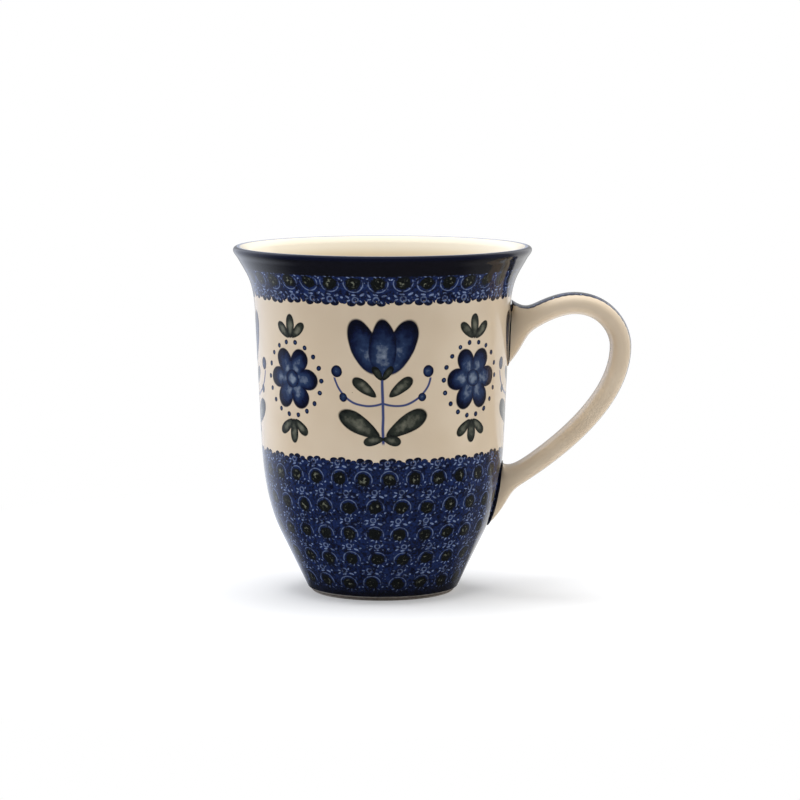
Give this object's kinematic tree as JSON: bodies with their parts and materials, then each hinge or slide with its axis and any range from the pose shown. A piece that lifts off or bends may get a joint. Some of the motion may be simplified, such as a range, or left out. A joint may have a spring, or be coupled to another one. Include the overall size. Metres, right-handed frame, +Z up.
{
  "type": "stoneware mug",
  "caption": "Tall flared stoneware mug with a drawn-in foot and an ear-shaped strap handle luted to the wall; holds a hot drink.",
  "frame": {"origin": "middle of the foot on the plane that the mug stands on, on the pot's axis", "axes": "+Z up along the pot's axis, +X towards the handle"},
  "size_m": [0.1377, 0.1032, 0.12],
  "materials": {
    "pot_glaze": "clear glossy glaze over cream clay with cobalt underglaze bands",
    "handle_glaze": "clear glossy glaze over cream clay with a cobalt stamped strip",
    "joint_line": "cobalt line under clear glaze"
  },
  "bodies": {
    "root": {"mug_body": "pot_glaze", "handle": "handle_glaze", "upper_slip_joint": "joint_line", "lower_slip_joint": "joint_line"}
  },
  "joints": []
}
